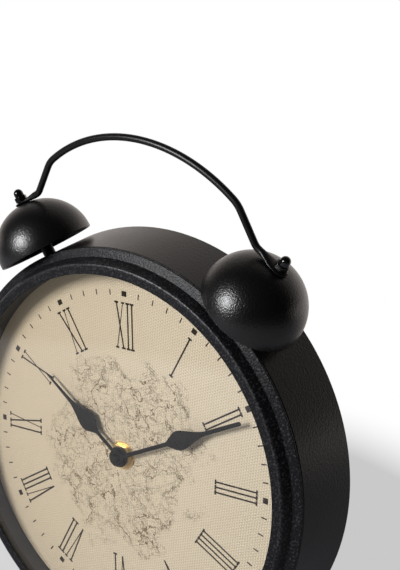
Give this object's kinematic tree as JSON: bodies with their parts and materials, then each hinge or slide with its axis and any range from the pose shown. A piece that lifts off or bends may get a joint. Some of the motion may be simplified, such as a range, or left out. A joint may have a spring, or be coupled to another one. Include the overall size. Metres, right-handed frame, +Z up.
{
  "type": "table clock",
  "caption": "Round twin-bell style table clock with a flared drum case, wire carrying handle, linen dial behind glass, spade hands and a battery movement",
  "frame": {"origin": "on the table, under the middle of the clock's bounding box", "axes": "+Z up, the dial faces -Y and leans back 8 degrees, +X to the right of someone reading the dial"},
  "size_m": [0.2136, 0.0672, 0.2625],
  "materials": {
    "black_drum": "matt black powder coat",
    "black_bezel": "fine-textured black powder coat",
    "black_bell": "satin black powder coat",
    "black_wire": "satin black paint",
    "black_nut": "gloss black paint",
    "black_foot": "satin black powder coat",
    "glass": "clear flat glass",
    "black_plastic": "moulded",
    "linen": "printed linen-textured card",
    "hardboard": "plain board",
    "steel": "zinc plated",
    "brass": "turned",
    "acetal": "moulded",
    "hand_grey": "dark grey paint",
    "cell": "plain sleeve"
  },
  "bodies": {
    "case": {"drum_shell": "black_drum", "bezel": "black_bezel", "lens": "glass", "spacer_ring": "black_plastic", "dial_card": "linen", "dial_plate": "hardboard", "dial_brackets": "steel", "dial_screws": "steel", "back_cover": "black_plastic", "back_cover_screws": "steel", "bell_left": "black_bell", "bell_right": "black_bell", "bell_post_left": "black_wire", "bell_post_right": "black_wire", "bell_post_nuts": "steel", "cap_nuts": "black_nut", "handle": "black_wire", "foot_left": "black_foot", "foot_right": "black_foot", "foot_nuts": "steel", "movement_front": "black_plastic", "movement_back": "black_plastic", "movement_washer": "brass", "movement_nut": "brass", "battery": "cell", "battery_contacts": "steel"},
    "minute": {"minute_arbor": "brass", "minute_hand": "hand_grey", "hand_nut": "hand_grey"},
    "hour": {"hour_wheel": "acetal", "hour_hand": "hand_grey"},
    "motion": {"motion_wheel": "acetal"},
    "setting": {"setting_knob": "black_plastic"}
  },
  "joints": [
    {"name": "minute_hand_turn", "type": "hinge", "parent": "case", "child": "minute", "pos_m": [0, -0.00667, 0.10934], "axis": [0, 0.9903, -0.1392], "continuous": true},
    {"name": "hour_hand_turn", "type": "hinge", "parent": "case", "child": "hour", "pos_m": [0, -0.00667, 0.10934], "axis": [0, 0.9903, -0.1392], "continuous": true},
    {"name": "motion_wheel_turn", "type": "hinge", "parent": "case", "child": "motion", "pos_m": [0.00919, -0.0056, 0.11698], "axis": [0, 0.9903, -0.1392], "continuous": true},
    {"name": "setting_knob_turn", "type": "hinge", "parent": "case", "child": "setting", "pos_m": [0.01838, -0.00452, 0.12461], "axis": [0, 0.9903, -0.1392], "continuous": true}
  ],
  "couplings": [
    {"joint": "hour_hand_turn", "follows": "minute_hand_turn", "ratio": 0.083333},
    {"joint": "motion_wheel_turn", "follows": "minute_hand_turn", "ratio": -0.33333},
    {"joint": "setting_knob_turn", "follows": "minute_hand_turn", "ratio": 1}
  ]
}
